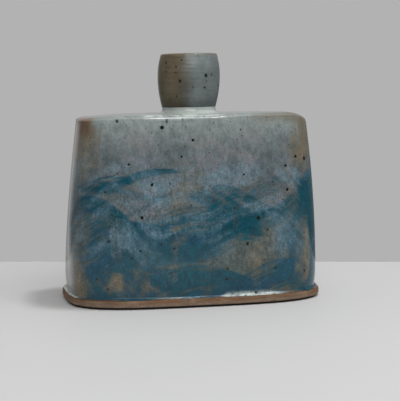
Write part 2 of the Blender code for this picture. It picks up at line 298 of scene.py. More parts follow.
def even_turns(count, half_length, half_depth):
    """Turns that step evenly along the outline, and its length, from the running sum of its chords."""
    fine = np.linspace(0, math.tau, 4001)
    x, y = superellipse(fine, half_length, half_depth, 0.5)
    run = np.concatenate([[0], np.cumsum(np.hypot(np.diff(x), np.diff(y)))])
    return np.interp(np.arange(count) / count * run[-1], run, fine), run[-1]


def surface_mesh(name, points, wrap=True):
    """A closed mesh over a grid of points, rows by columns. Columns always join round.

    The last row joins the first if wrap is set. Otherwise each end row is closed with a fan to its middle.
    """
    rows, columns = points.shape[:2]
    index = np.arange(rows * columns).reshape(rows, columns)
    beside, above = np.roll(index, -1, 1), np.roll(index, -1, 0)
    across = np.roll(above, -1, 1)
    quads = np.stack([index, beside, across, above], -1)
    vertices = points.reshape(-1, 3)
    if wrap:
        faces = quads.reshape(-1, 4)
        fans = np.empty((0, 3), int)
    else:
        faces = quads[:-1].reshape(-1, 4)
        first, last = len(vertices), len(vertices) + 1
        vertices = np.concatenate([vertices, [points[0].mean(0), points[-1].mean(0)]])
        low = np.stack([beside[0], index[0], np.full(columns, first)], -1)
        high = np.stack([index[-1], beside[-1], np.full(columns, last)], -1)
        fans = np.concatenate([low, high])
    triangles = np.concatenate([faces[:, [0, 1, 2]], faces[:, [0, 2, 3]], fans])
    corners = vertices[triangles]
    volume = np.einsum("ij,ij->", corners[:, 0], np.cross(corners[:, 1], corners[:, 2]))
    if volume < 0:
        faces, fans = faces[:, ::-1], fans[:, ::-1]
    mesh = bpy.data.meshes.new(name)
    mesh.vertices.add(len(vertices))
    mesh.vertices.foreach_set("co", vertices.astype(np.float32).ravel())
    loops = np.concatenate([faces.ravel(), fans.ravel()])
    sizes = np.concatenate([np.full(len(faces), 4), np.full(len(fans), 3)])
    mesh.loops.add(len(loops))
    mesh.loops.foreach_set("vertex_index", loops.astype(np.int32))
    mesh.polygons.add(len(sizes))
    mesh.polygons.foreach_set("loop_start", np.concatenate([[0], np.cumsum(sizes)[:-1]]).astype(np.int32))
    mesh.update(calc_edges=True)
    mesh.validate()
    mesh.shade_smooth()
    return mesh


def place(mesh, finish, slot, *nodes):
    """Makes a piece from a mesh, gives it its finish, and lets it stand for its nodes of the frame."""
    piece = bpy.data.objects.new(mesh.name, mesh)
    bpy.context.scene.collection.objects.link(piece)
    mesh.materials.append(finish)
    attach(piece, "root")
    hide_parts(*nodes)
    return piece


def store(mesh, name, values):
    """Keeps a number or a vector for each vertex under a name that the finishes read."""
    kind = "FLOAT" if values.ndim == 1 else "FLOAT_VECTOR"
    field = "value" if values.ndim == 1 else "vector"
    attribute = mesh.attributes.new(name, kind, "POINT")
    attribute.data.foreach_set(field, values.astype(np.float32).ravel())


def wall_line(body):
    """Half the length and half the depth of the body where its walls stand on the foot slab."""
    return BASE_HIGH.x - body.flange, BASE_HIGH.y - body.flange


def lean(turn, up, body):
    """How far the walls have leaned in at a height share: nothing near the foot, then ever more."""
    above = np.clip(up - LEAN_START_SHARE, 0, 1) / (1 - LEAN_START_SHARE)
    right = (1 + np.cos(turn)) / 2
    power = mix(LEFT_LEAN_POWER, RIGHT_LEAN_POWER, right)
    return mix(body.left_lean, body.right_lean, right) * above**power


def sag(x, up, body):
    """How far the body has sunk at a place: only towards the left end, and more the higher up."""
    beyond = np.clip(-x / wall_line(body)[0] - SAG_START_SHARE, 0, None) / (1 - SAG_START_SHARE)
    return body.left_sag * beyond**2 * up**2


def ripple(around, z):
    """The stray of hand-built walls, from -1 to 1: three slow waves round the body that drift with height."""
    waves = ((3, 21, 0.4, 0.5), (5, -34, 2.1, 0.3), (8, 55, 4.0, 0.2))
    return sum(size * np.sin(count * around + climb * z + start) for count, climb, start, size in waves)


def bow(x, y, up, body):
    """How far the left end stands out: a parabola in front, its square behind, and nothing at the foot."""
    across = (y - BOW_MIDDLE) / BOW_HALF_WIDTH
    arch = np.clip(1 - across**2, 0, 1) ** np.where(across > 0, 2, 1)
    return body.bow * arch * smooth(0.08, 0.45, up) * smooth(0.58, 0.78, -x / wall_line(body)[0])


def body_ring(turn, around, z, inset, body, stray=1.0):
    """A ring of the body at a height: the outline less the lean and an inset, with its stray and its sag."""
    up = np.clip(z / SHOULDER_HIGH.z, 0, 1)
    drawn = lean(turn, up, body) + inset - stray * body.wobble * ripple(around, z)
    half_length, half_depth = wall_line(body)
    x, y = superellipse(turn, half_length - drawn, half_depth - drawn, up)
    x = x - bow(x, y, up, body)
    return np.stack([x, y, z - sag(x, up, body)], -1)


def level(turn, value):
    """A height for every column."""
    return np.full(turn.shape, value)


def top_level(x, body):
    """The height of the top at a place along the body: level, but for a slight tilt and the left sag."""
    return SHOULDER_HIGH.z - body.level + body.tilt * x - sag(x, 1.0, body)


def edge_shape(turn, body):
    """How far the top's edge falls and how far in it reaches.

    It is crisp at the left end and right of the neck, soft in front of the neck, and full at the right end.
    """
    cosine = np.cos(turn)
    by_neck = smooth(-0.6, -0.35, cosine) * smooth(0.35, 0.05, cosine)
    right = smooth(0.62, 0.97, cosine)
    drop = mix(mix(body.crisp_drop, body.front_drop, by_neck), body.right_drop, right)
    return drop, drop * mix(body.edge_spread, body.right_spread, right)


def body_rows(turn, around, body):
    """The body's rows, in order: glaze roll, wall, crowned edge, shoulder, hole, underside, inner wall."""
    base, top, under = BASE_HIGH.z, SHOULDER_HIGH.z, top_underside()
    swelling = 0.9 + 0.3 * np.sin(4 * around + 1.0) + 0.25 * np.sin(11 * around + 2.6)
    rows = []
    for share in np.linspace(0, 1, ROLL_ROWS):
        angle = share * math.pi / 2
        out = 1 - math.sin(angle)
        bead = body.bead * math.exp(-((out - BEAD_SHARE) ** 2) / BEAD_WIDTH_SHARE) * (share > 0)
        z = base + GLAZE_GAP + bead * swelling + body.roll * (1 - math.cos(angle))
        inset = body.foot_tuck * share - body.flange * GLAZE_REACH * out
        rows.append(body_ring(turn, around, z, inset, body, share))
    drop, run = edge_shape(turn, body)
    start = base + body.roll
    for share in np.linspace(0, 1, WALL_ROWS + 1)[1:]:
        z = mix(start, top - body.level - drop, share)
        tuck = body.foot_tuck * np.clip(1 - (z - start) / TUCK_HEIGHT, 0, 1) ** 2
        rows.append(body_ring(turn, around, z, tuck, body))
    for share in np.linspace(0, 1, EDGE_ROWS + 1)[1:]:
        angle = share * math.pi / 2
        z = top - body.level - drop * (1 - math.sin(angle))
        rows.append(body_ring(turn, around, z, run * (1 - math.cos(angle)), body, 1 - 0.5 * share))
    rows += shoulder_rows(rows[-1], turn, top - body.level, body)
    floor_ring = body_ring(turn, around, level(turn, under), body.wall, body, 0)
    rows += reversed(shoulder_rows(floor_ring, turn, under, body))
    for share in np.linspace(0, 1, INNER_ROWS):
        z = level(turn, mix(under, base + FLOOR_GAP, share))
        rows.append(body_ring(turn, around, z, body.wall, body, 0))
    rows = np.stack(rows)
    outer = rows[:OUTER_ROWS]
    outer[..., 2] += body.tilt * outer[..., 0] * np.clip(outer[..., 2] / SHOULDER_HIGH.z, 0, 1) ** 2
    return rows


def top_underside():
    """The height of the shoulder slab's underside, taken from the spigot that ends flush with it."""
    return NECK_LOW.z


def neck_middle():
    """Where the neck's axis stands along the body."""
    return (NECK_LOW.x + NECK_HIGH.x) / 2


def hole_radius():
    """The radius of the hole in the shoulder, which leaves the collar's own hole clear."""
    return COLLAR_HIGH.x - neck_middle() - COLLAR_OVERLAP


def shoulder_rows(edge_ring, turn, z, body):
    """Rows across a face of the shoulder, from its edge in to the neck's hole, with the sag of the body."""
    middle, radius = neck_middle(), hole_radius()
    hole = np.stack([middle + radius * np.cos(turn), radius * np.sin(turn)], -1)
    rows = []
    for share in np.linspace(0, 1, FACE_ROWS + 1)[1:]:
        flat = mix(edge_ring[:, :2], hole, share)
        drop = sag(flat[:, 0], 1.0, body)
        rows.append(np.concatenate([flat, (z - drop)[:, None]], -1))
    return rows


def patchwork(chance, across, along, cells):
    """Smooth noise, 0 to 1: random numbers on a unit grid, with smooth steps between.

    It repeats after so many cells along.
    """
    table = chance.random((PATCH_ROWS, cells))
    row, column = np.floor(across).astype(int), np.floor(along).astype(int)
    down, right = smooth(0, 1, across - row), smooth(0, 1, along - column)
    row, column = row % PATCH_ROWS, column % cells
    above, beside = (row + 1) % PATCH_ROWS, (column + 1) % cells
    near = mix(table[row, column], table[row, beside], right)
    far = mix(table[above, column], table[above, beside], right)
    return mix(near, far, down)


def drift(chance, around, z, cells, tall):
    """Patches, 0 to 1, that close round the pot: so many to the round and so tall, with finer ones over."""
    turn = around / math.tau
    broad = patchwork(chance, z / tall, turn * cells, cells)
    middle = patchwork(chance, z / tall * 2.1, turn * cells * 2, cells * 2)
    fine = patchwork(chance, z / tall * 4.3, turn * cells * 4, cells * 4)
    return 0.55 * broad + 0.3 * middle + 0.15 * fine


def swell(around):
    """The roll of the brushwork round the pot, in metres: three waves that steepen one another."""
    return MM * (8 * np.sin(5 * around + 0.9) + 3.5 * np.sin(8 * around + 2.4) + 2 * np.sin(13 * around))


def lens(share):
    """The width of a sweep along its length: it swells from a soft start, stays full and tapers to a tip."""
    inside = np.clip(share, 0, 1)
    return np.sin(math.pi * inside**0.75) ** 0.8


def lay_sweep(coat, chance, along, z, girth, height, length, half_width, rise, load):
    """Lays one long level sweep of the brush over the slip that is there.

    Its line rolls with a sine of its own about a height. Its crest is a clear edge, and below that it thins
    out to nothing. A drying brush leaves streaks: noise that is narrow across the sweep and long along it.
    """
    slip, depth = coat
    run = (along - chance.uniform(0, girth)) % girth
    share = np.clip(run / length, 0, 1)
    wave = chance.uniform(*SWEEP_WAVE) * MM
    begin = chance.uniform(0, math.tau)
    climb = chance.uniform(*SWEEP_CLIMB)
    line = height + climb * (run - length / 2) + rise * np.sin(math.tau * run / wave + begin)
    slope = climb + math.tau * rise / wave * np.cos(math.tau * run / wave + begin)
    across = (z - line) / np.sqrt(1 + slope**2)
    side = across / np.maximum(half_width * lens(share), 0.05 * MM)
    crest = 1 - smooth(0.75, 1.1, side)
    fade = smooth(-1.3, -0.1, side)
    streak = 0.55 * patchwork(chance, across / (1.2 * MM), run / (21 * MM), STREAK_CELLS)
    streak = streak + 0.45 * patchwork(chance, across / (2.7 * MM), run / (44 * MM), STREAK_CELLS)
    dry = mix(0.3, 1.0, share)
    cover = crest * fade * load * (1 - dry * smooth(0.42, 0.72, streak)) * smooth(1.0, 0.86, share)
    thick = load * mix(1.0, 0.55, share) * (1 - 0.7 * smooth(0.3, 0.65, streak))
    thick = thick + 0.3 * smooth(0.45, 0.9, side)
    return 1 - (1 - slip) * (1 - cover), mix(depth, thick, cover)


def brush_slip(along, z, girth):
    """How far slip covers and how deep it lies: broad low sweeps, middle ones over them, thin ones on top.

    For each kind the table gives how many, then the spans, in mm, of the height above the floor, the
    length, the half width and the roll, and last the span of the brush's load.
    """
    chance = np.random.default_rng(SWEEP_SEED)
    coat = np.zeros(z.shape), np.zeros(z.shape)
    kinds = (
        (13, (5, 34), (90, 170), (8, 14), (3, 7), (0.85, 1.0)),
        (14, (28, 66), (60, 125), (6, 12), (4, 9), (0.6, 1.0)),
        (9, (58, 86), (40, 85), (2.5, 6), (3, 8), (0.35, 0.75)),
        (7, (14, 70), (30, 75), (0.8, 1.4), (3, 8), (0.6, 1.0)),
        (6, (48, 74), (50, 100), (4, 9), (3, 7), (0.25, 0.5)),
    )
    for count, *spans in kinds:
        for _ in range(count):
            height, length, half_width, rise = (chance.uniform(*span) * MM for span in spans[:4])
            load = chance.uniform(*spans[4])
            coat = lay_sweep(coat, chance, along, z, girth, height, length, half_width, rise, load)
    return coat


def plan_bend(points):
    """How sharply the outline bends at each point, and the way out from it, taken from its neighbours."""
    step = np.roll(points, -1, 1) - np.roll(points, 1, 1)
    length = np.hypot(step[..., 0], step[..., 1])
    out_x, out_y = step[..., 1] / length, -step[..., 0] / length
    heading = np.unwrap(np.arctan2(step[..., 1], step[..., 0]), axis=1)
    bend = np.abs(np.roll(heading, -2, 1) - np.roll(heading, 2, 1))
    bend = np.minimum(bend, math.tau - bend % math.tau) / (2 * length)
    return bend, out_x, out_y


class Skin:
    """The body's skin as grids, rows by columns: where each point lies, how it faces and how it strays."""

    def __init__(self, points, around):
        self.x, self.y, self.z = np.moveaxis(points, -1, 0)
        self.around = np.broadcast_to(around, self.z.shape)
        self.row = np.arange(len(points))[:, None]
        self.height = self.z / SHOULDER_HIGH.z
        self.bend, self.out_x, out_y = plan_bend(points)
        self.front = smooth(*FRONT_FACING, out_y)
        self.left = smooth(*LEFT_FACING, -self.out_x)
        self.to_right = smooth(*RIGHT_PART, self.x / BASE_HIGH.x)
        self.patch = self.patches(PATCH_SEED, PATCHES)
        strays = self.patches(STRAY_SEED, STRAYS)
        self.stray = strays["skin"] - 0.5
        self.astray = self.x / MM + PLACE_STRAY * (strays["along"] - 0.5)
        self.aslant = self.z / MM + PLACE_STRAY * (strays["up"] - 0.5)
        self.near = smooth(*NEAR_SIDE, self.y / MM + NEAR_STRAY * self.stray)

    def patches(self, seed, kinds):
        """Patches of chance by name, drawn in the order of their table."""
        chance = np.random.default_rng(seed)
        return {name: drift(chance, self.around, self.z, cells, tall * MM) for name, cells, tall in kinds}


def bump(across, up, at_across, at_up, wide, tall):
    """A soft round mark: e to minus the square of the distance from its middle, in its half sizes."""
    return np.exp(-(((across - at_across) / wide) ** 2) - ((up - at_up) / tall) ** 2)


def thin_glaze(skin, gaps, line, placed):
    """Where the glaze breaks tan: the sharp bends, the edges, the runs and gaps, and the placed marks."""
    patch, height = skin.patch, skin.height
    arris = smooth(20, 60, skin.bend) * smooth(0.4, 0.62, patch["arris"])
    right_edge = smooth(0.15, 0.5, skin.out_x) * smooth(0.55, 0.8, height)
    right_edge = right_edge * smooth(0.2, 0.5, patch["right_edge"])
    olive = skin.left * smooth(0.52, 0.84, height)
    brow = within(skin.row - WALL_END, *BROW_ROWS)
    brim = mix(0.3 * brow, 0.8 * smooth(0.9, 0.985, height + 0.08 * skin.stray), skin.to_right)
    runs = smooth(0.48, 0.78, patch["runs"]) * smooth(0.85, 0.6, height)
    return np.maximum.reduce([
        0.65 * arris, 0.75 * right_edge, 0.7 * olive, 0.8 * brim, 0.65 * runs, 0.6 * gaps, 0.65 * line,
        placed])


def pool_and_painted_highlight_marks(skin):
    """Where pale glaze has pooled on the ledge over the foot, which on the front and at the left end also
    paints a highlight, and a painted highlight along the top's front edge.
    """
    along = skin.x / MM
    # Pale pooled glaze on the ledge; on the front from 5 to 58 mm, and at the left end, it also paints the
    # highlight along the foot's roll.
    roll = skin.front * within(along, *ROLL_ALONG)
    ledge = smooth(7 + 5.5 * roll, 4 + 5 * roll, skin.row)
    behind = (1 - skin.front) * smooth(0.5, 0.7, skin.patch["pooled"])
    # Painted highlight: a pale band along the top's front edge, in the pooled glaze's colour.
    glint = skin.front * within(skin.row - WALL_END, *GLINT_ROWS) * within(along, *GLINT_ALONG)
    return np.maximum(ledge * np.clip(roll + smooth(*END_POOL, along) + behind, 0, 1), glint)


def dull_marks(skin):
    """Where the top's front edge is duller, left and right of its glint."""
    along = skin.x / MM
    beyond = np.maximum(smooth(*DULL_LEFT, along), within(along, *DULL_RIGHT))
    return skin.front * within(skin.row - WALL_END, *DULL_ROWS) * beyond


def slip_marks(skin, radius, gaps, line, placed, column):
    """How far slip covers and how deep it lies: the sweeps less what is worn, a puddle and the column."""
    slip, depth = brush_slip(skin.around * radius, skin.z, radius * math.tau)
    worn = skin.left * bump(skin.y / MM, skin.z / MM, *WORN_PLACE)
    sparse = smooth(0.25, 1.0, 0.6 * skin.stray - skin.out_x)
    slip = slip * (1 - 0.35 * gaps) * (1 - np.clip(placed, 0, 0.9)) * (1 - 0.8 * line)
    slip = slip * (1 - 0.55 * sparse) * (1 - 0.85 * worn)
    puddle = skin.front * smooth(9, 6, skin.row) * within(skin.x / MM, *PUDDLE_ALONG)
    return np.maximum.reduce([slip, puddle, 0.8 * column]), mix(depth, 0.45 + 0.9 * skin.stray, 0.7 * column)


def body_fields(mesh, around, points, girth):
    """Stores what the glaze reads: the roll of the brush, and how far each mark shows at each point."""
    skin = Skin(points, around)
    radius = girth / math.tau
    wound = FLOW_SHARE * radius
    flow = [wound * np.cos(skin.around), wound * np.sin(skin.around), skin.z - swell(skin.around)]
    store(mesh, "flow", np.stack(flow, -1).reshape(-1, 3))

    on_wall = smooth(WALL_END + 0.7 * EDGE_ROWS, WALL_END, skin.row)
    on_edge = smooth(WALL_END + EDGE_ROWS + 2, WALL_END + EDGE_ROWS - 2, skin.row)
    gaps = smooth(0.42, 0.78, skin.patch["gaps"]) * smooth(0.62, 0.3, skin.height)
    line = skin.near * within(skin.height, *LINE_UP) * within(skin.out_x + 0.3 * skin.stray, *LINE_BEND)
    column = skin.near * smooth(0.12, 0.5, skin.out_x + 0.6 * skin.stray) * (1 - line)
    column = column * smooth(0.86, 0.58, skin.height + 0.5 * skin.stray)
    placed = skin.front * sum(
        strength * bump(skin.astray, skin.aslant, *spot) for *spot, strength in THIN_PLACES)
    slip, depth = slip_marks(skin, radius, gaps, line, placed, column)
    thin = thin_glaze(skin, gaps, line, placed) * (1 - 0.7 * column)
    brown = skin.left * smooth(0.88, 0.94, skin.height + 0.05 * skin.patch["brown"])
    # pool holds pale pooled glaze and the painted highlights on the foot's ledge and the top's front edge.
    pool = pool_and_painted_highlight_marks(skin)
    rim = smooth(4, 2, skin.row) * smooth(0.35, 0.55, skin.patch["rim"]) * (1 - pool)
    marks = {
        "slip": slip * on_wall,
        "depth": depth,
        "thin": np.clip(thin, 0, 1) * mix(on_wall, on_edge, skin.to_right),
        "brown": brown * on_edge,
        "pool": pool,
        "rim": rim,
        "dull": dull_marks(skin),
        "face": 1 - on_wall,
        "bare": (skin.row >= OUTER_ROWS).astype(float),
    }
    for name, values in marks.items():
        store(mesh, name, np.broadcast_to(values, skin.z.shape).ravel())


class Nodes:
    """A node tree under construction, with one short method for each kind of node that most trees use."""

    def __init__(self, tree):
        self.tree = tree

    def node(self, kind, feeds, **settings):
        """Adds a node with its settings, and feeds each input with a value or with another node's output."""
        made = self.tree.nodes.new(kind)
        for name, value in settings.items():
            setattr(made, name, value)
        for name, value in feeds.items():
            self.feed(made.inputs[name], value)
        return made

    def feed(self, socket, value):
        """Links an output to a socket, or writes a plain value on it."""
        if isinstance(value, bpy.types.NodeSocket):
            self.tree.links.new(value, socket)
        elif hasattr(value, "__len__") and len(value) == 3 and socket.type == "RGBA":
            socket.default_value = (*value, 1)
        else:
            socket.default_value = value

    def math(self, operation, first, second=0.0, third=0.0):
        """One sum on one, two or three values."""
        made = self.node("ShaderNodeMath", {}, operation=operation)
        for socket, value in zip(made.inputs, (first, second, third)):
            self.feed(socket, value)
        return made.outputs["Value"]

    def times(self, first, *others):
        """The product of two or more values."""
        for other in others:
            first = self.math("MULTIPLY", first, other)
        return first

    def step(self, value, low, high, to_low=0.0, to_high=1.0):
        """A smooth step from to_low at low to to_high at high."""
        feeds = {"Value": value, "From Min": low, "From Max": high, "To Min": to_low, "To Max": to_high}
        return self.node("ShaderNodeMapRange", feeds, interpolation_type="SMOOTHSTEP").outputs["Result"]


class Finish(Nodes):
    """A material under construction, with the patterns, colours and bumps that the finishes use."""

    def __init__(self, name):
        self.material = bpy.data.materials.new(name)
        self.material.use_nodes = True
        super().__init__(self.material.node_tree)
        self.surface = self.tree.nodes["Principled BSDF"]
        self.place = self.node("ShaderNodeTexCoord", {}).outputs["Object"]

    def field(self, name, output="Fac"):
        """What the mesh stores under a name."""
        return self.node("ShaderNodeAttribute", {}, attribute_name=name).outputs[output]

    def axis(self, name):
        """A place's X, Y or Z, in metres."""
        return self.node("ShaderNodeSeparateXYZ", {"Vector": self.place}).outputs[name]

    def stretched(self, scale, vector=None):
        """The place, or another vector, scaled along each axis."""
        feeds = {"Vector": vector or self.place, "Scale": scale}
        return self.node("ShaderNodeMapping", feeds).outputs["Vector"]

    def noise(self, size, vector=None, detail=3, rough=0.6):
        """Soft noise whose features are about as large as size, in mm."""
        vector = vector or self.place
        feeds = {"Vector": vector, "Scale": 1 / (size * MM), "Detail": detail, "Roughness": rough}
        return self.node("ShaderNodeTexNoise", feeds).outputs["Fac"]

    def specks(self, spacing, least, most, halo=0.0, tall=1.0):
        """Ragged dots about random points: 1 inside a dot, whose radius differs from point to point.

        The spacing and the least and most radius are in mm. Round each dot lies a faint halo, as strong as
        halo says and 1.6 times as wide. Dots are drawn out upright by the multiple tall.
        """
        spacing, least, most = spacing * MM, least * MM, most * MM
        shift = self.node("ShaderNodeTexNoise", {"Vector": self.place, "Scale": 1.3 / most, "Detail": 1.0})
        stray = self.node(
            "ShaderNodeVectorMath",
            {0: shift.outputs["Color"], 1: (0.5 * most,) * 3, 2: self.place}, operation="MULTIPLY_ADD")
        points = self.stretched((1, 1, 1 / tall), stray.outputs["Vector"])
        cells = self.node("ShaderNodeTexVoronoi", {"Vector": points, "Scale": 1 / spacing})
        pick = self.node("ShaderNodeSeparateColor", {"Color": cells.outputs["Color"]}).outputs["Red"]
        size = self.math("POWER", pick, 3.0)
        radius = self.math("MULTIPLY_ADD", size, (most - least) / spacing, least / spacing)
        core = self.step(cells.outputs["Distance"], radius, self.times(radius, 0.7))
        if not halo:
            return core
        around = self.step(cells.outputs["Distance"], self.times(radius, 1.6), radius, 0.0, halo)
        return self.math("MAXIMUM", core, around)

    def spread(self, noise, low, high):
        """A noise spread from low to high."""
        return self.step(noise, NOISE_LOW, NOISE_HIGH, low, high)

    def blend(self, share, first, second, kind="MIX"):
        """A colour that lies a share of the way from the first to the second."""
        made = self.node("ShaderNodeMix", {}, data_type="RGBA", blend_type=kind)
        for socket, value in zip((made.inputs[0], made.inputs[6], made.inputs[7]), (share, first, second)):
            self.feed(socket, value)
        return made.outputs[2]

    def shaded(self, colour, *tones):
        """A colour made darker or lighter by the product of its tones, where 1 leaves it as it is."""
        tone = self.times(*tones)
        grey = self.node("ShaderNodeCombineColor", {"Red": tone, "Green": tone, "Blue": tone})
        return self.blend(1.0, colour, grey.outputs["Color"], "MULTIPLY")

    def shift(self, base, *layers):
        """A value moved by noises, each with its amount, up or down by half of that at most."""
        for noise, amount in layers:
            base = self.math("MULTIPLY_ADD", self.math("SUBTRACT", noise, 0.5), amount, base)
        return base

    def paint(self, colour):
        """Gives the surface its colour."""
        self.feed(self.surface.inputs["Base Color"], colour)

    def relief(self, *layers):
        """Bumps laid one over another, each a field and its depth in mm."""
        normal = None
        for value, depth in layers:
            feeds = {"Height": value, "Distance": depth * MM, "Strength": 1.0}
            if normal is not None:
                feeds["Normal"] = normal
            normal = self.node("ShaderNodeBump", feeds).outputs["Normal"]
        self.feed(self.surface.inputs["Normal"], normal)

    def gloss(self, rough, coat=0.0, coat_rough=0.05):
        """The gloss: the roughness may vary, and the coat is the same all over."""
        self.feed(self.surface.inputs["Roughness"], rough)
        self.surface.inputs["IOR"].default_value = 1.42
        self.surface.inputs["Coat Weight"].default_value = coat
        self.surface.inputs["Coat Roughness"].default_value = coat_rough


def body_glaze(colours):
    """Pale glaze that darkens downwards over brushed slip, with milky veils, tan breaks, iron specks and
    pooled glaze, which also paints highlights on the top edge and the foot's ledge.
    """
    finish = Finish("body_glaze")
    height = finish.axis("Z")
    flow = finish.field("flow", "Vector")
    streaks = finish.noise(1.4, flow)
    cloud = finish.noise(15, flow, 4)
    wide = finish.noise(26, detail=4)
    blotch = finish.noise(5)
    runs = finish.noise(2, finish.stretched((1, 1, 0.35)))
    grain = finish.noise(1, rough=0.7)

    drop = finish.step(finish.axis("X"), *LEFT_END, 0, LEFT_END_DROP)
    lower = finish.times(drop, finish.step(height, *LEFT_END_FADE))
    uneven = finish.math("ADD", finish.shift(height, (wide, 30 * MM)), lower)
    ground = finish.blend(finish.step(uneven, *PALE_TO_HAZE), colours.pale, colours.haze)
    ground = finish.blend(finish.step(uneven, *HAZE_TO_DARK), ground, colours.ground)
    warm = finish.times(
        finish.step(blotch, 0.42, 0.62, 0.2, 0.7), finish.step(wide, 0.44, 0.6),
        finish.step(height, *WARM_HIGH), finish.step(height, *WARM_LOW))
    ground = finish.blend(warm, ground, colours.mauve)

    thin = finish.shift(finish.field("thin"), (blotch, 0.5), (runs, 0.4))
    ground = finish.blend(finish.step(thin, 0.1, 0.95, 0.0, 0.9), ground, colours.tan)

    ragged = finish.shift(finish.field("slip"), (streaks, 0.7), (blotch, 0.5), (runs, 0.6), (grain, 0.5))
    shown = finish.step(ragged, 0.12, 0.74)
    deep = finish.shift(finish.field("depth"), (cloud, 1.3), (runs, 0.6))
    brushed = finish.blend(finish.step(deep, 0.2, 0.8), colours.teal, colours.blue)
    colour = finish.blend(finish.times(shown, 0.98), ground, brushed)
    breaks = finish.shift(thin, (grain, 0.9))
    colour = finish.blend(finish.step(breaks, 0.4, 1.2, 0.0, 0.55), colour, colours.tan)
    colour = finish.blend(finish.step(breaks, 0.85, 1.35, 0.0, 0.85), colour, colours.amber)

    veil = finish.times(
        finish.step(height, *VEIL_LOW), finish.step(height, *VEIL_HIGH),
        finish.step(finish.shift(cloud, (wide, 0.6)), 0.42, 0.68),
        finish.spread(finish.shift(runs, (streaks, 0.7)), 0.35, 0.8))
    milky = finish.blend(finish.step(blotch, 0.5, 0.68), colours.milk, colours.lilac)
    colour = finish.blend(veil, colour, milky)
    brown = finish.times(finish.field("brown"), finish.step(blotch, 0.3, 0.6, 0.8, 1.0))
    colour = finish.blend(brown, colour, colours.brown)
    # Pale pooled glaze, which also paints the highlights on the top's front edge and along the foot's ledge.
    pooled = finish.times(finish.field("pool"), finish.step(blotch, 0.3, 0.55, 0.35, 0.9))
    colour = finish.blend(pooled, colour, colours.pool)
    colour = finish.blend(finish.times(finish.field("rim"), 0.85), colour, colours.rust)

    calm = finish.step(height, *CALM, 0.5, 1.4)
    tone = finish.math("MULTIPLY_ADD", finish.step(grain, 0.28, 0.72, -0.28, 0.25), calm, 1.0)
    colour = finish.shaded(colour, tone, finish.spread(runs, 0.9, 1.1), finish.spread(blotch, 0.84, 1.16))

    bare = finish.field("bare")
    pepper = finish.times(finish.specks(3.2, 0.25, 0.6), 0.6)
    spots = finish.specks(6.4, 0.42, 1.5, 0.08)
    ticks = finish.times(
        finish.specks(3.3, 0.32, 0.8, 0.25, 2.6), finish.step(height, *TICKS_LOW, 0.0, 0.75),
        finish.step(finish.field("face"), 0.4, 0.6, 1.0, 0.0))
    iron = finish.math("MAXIMUM", finish.math("MAXIMUM", pepper, spots), ticks)
    iron = finish.times(iron, finish.math("SUBTRACT", 1.0, bare))
    colour = finish.blend(iron, colour, colours.iron)
    finish.paint(finish.blend(bare, colour, colours.clay))
    rough = finish.math("MULTIPLY_ADD", finish.field("dull"), 0.32, finish.spread(grain, 0.1, 0.18))
    finish.gloss(finish.math("MULTIPLY_ADD", bare, 0.6, rough), 0.08, 0.05)
    peel = finish.noise(6, detail=1, rough=0.5)
    finish.relief((peel, 0.06), (shown, 0.02), (iron, -0.05))
    return finish.material


def neck_glaze(colours):
    """Thin olive-brown glaze on the left that meets grey-blue on the right, over fine throwing lines, with a
    painted sheen at the upper right and painted shade at the foot.
    """
    finish = Finish("neck_glaze")
    height, rim = finish.axis("Z"), NECK_HIGH.z
    cloud = finish.noise(8)
    warm = finish.noise(7, detail=4, rough=0.65)
    lines = finish.noise(4, finish.stretched((0.3, 0.3, 2.6)))
    grain = finish.noise(0.9, detail=4, rough=0.7)
    meeting = finish.shift(finish.axis("X"), (cloud, 9 * MM))
    rusty = finish.blend(finish.step(warm, 0.45, 0.7, 0.0, 0.3), colours.olive, colours.brown)
    colour = finish.blend(finish.step(meeting, -14 * MM, -0.5 * MM), rusty, colours.slate)
    seam = finish.times(
        finish.step(meeting, -15 * MM, -9 * MM), finish.step(meeting, 1 * MM, -6 * MM),
        finish.step(height, rim - 12 * MM, rim - 22 * MM, 0.1, 0.38))
    colour = finish.shaded(colour, finish.math("SUBTRACT", 1.0, seam))
    # Painted sheen: the neck's upper right is made lighter, by up to 22 % near the rim.
    brow = finish.times(finish.step(height, rim - 13 * MM, rim - 5 * MM), 0.22)
    brow = finish.math("MULTIPLY_ADD", brow, finish.step(meeting, -6 * MM, 1 * MM), 1.0)
    tone = finish.times(
        finish.spread(lines, 0.87, 1.09), finish.spread(cloud, 0.88, 1.13), finish.spread(grain, 0.9, 1.08))
    # Painted shade: the neck darkens towards its foot, where it meets the collar, to 0.66 of its colour.
    foot = finish.step(height, COLLAR_HIGH.z + 7 * MM, COLLAR_HIGH.z - 0.5 * MM, 1.0, 0.66)
    colour = finish.shaded(finish.shaded(finish.shaded(colour, brow), tone), foot)
    lip = finish.step(height, rim - 2.4 * MM, rim - 0.9 * MM, 0.0, 0.5)
    colour = finish.blend(lip, colour, colours.tan)
    spots = finish.specks(5.2, 0.5, 1.5, 0.1)
    pepper = finish.times(finish.specks(3.5, 0.3, 0.6), 0.5)
    iron = finish.math("MAXIMUM", pepper, spots)
    finish.paint(finish.blend(iron, colour, colours.iron))
    finish.gloss(finish.spread(grain, 0.3, 0.42), 0.15, 0.15)
    finish.relief((lines, 0.02), (grain, 0.02), (iron, -0.05))
    return finish.material


def pooled_glaze(colours):
    """The thick pale glaze that has pooled round the neck's foot."""
    finish = Finish("collar_glaze")
    wash = finish.noise(9, detail=2, rough=0.5)
    colour = finish.blend(finish.step(wash, 0.4, 0.8, 0.0, 0.6), colours.pool, colours.pale)
    finish.paint(finish.shaded(colour, 0.85))
    finish.gloss(0.12, 0.5, 0.04)
    finish.relief((wash, 0.1))
    return finish.material


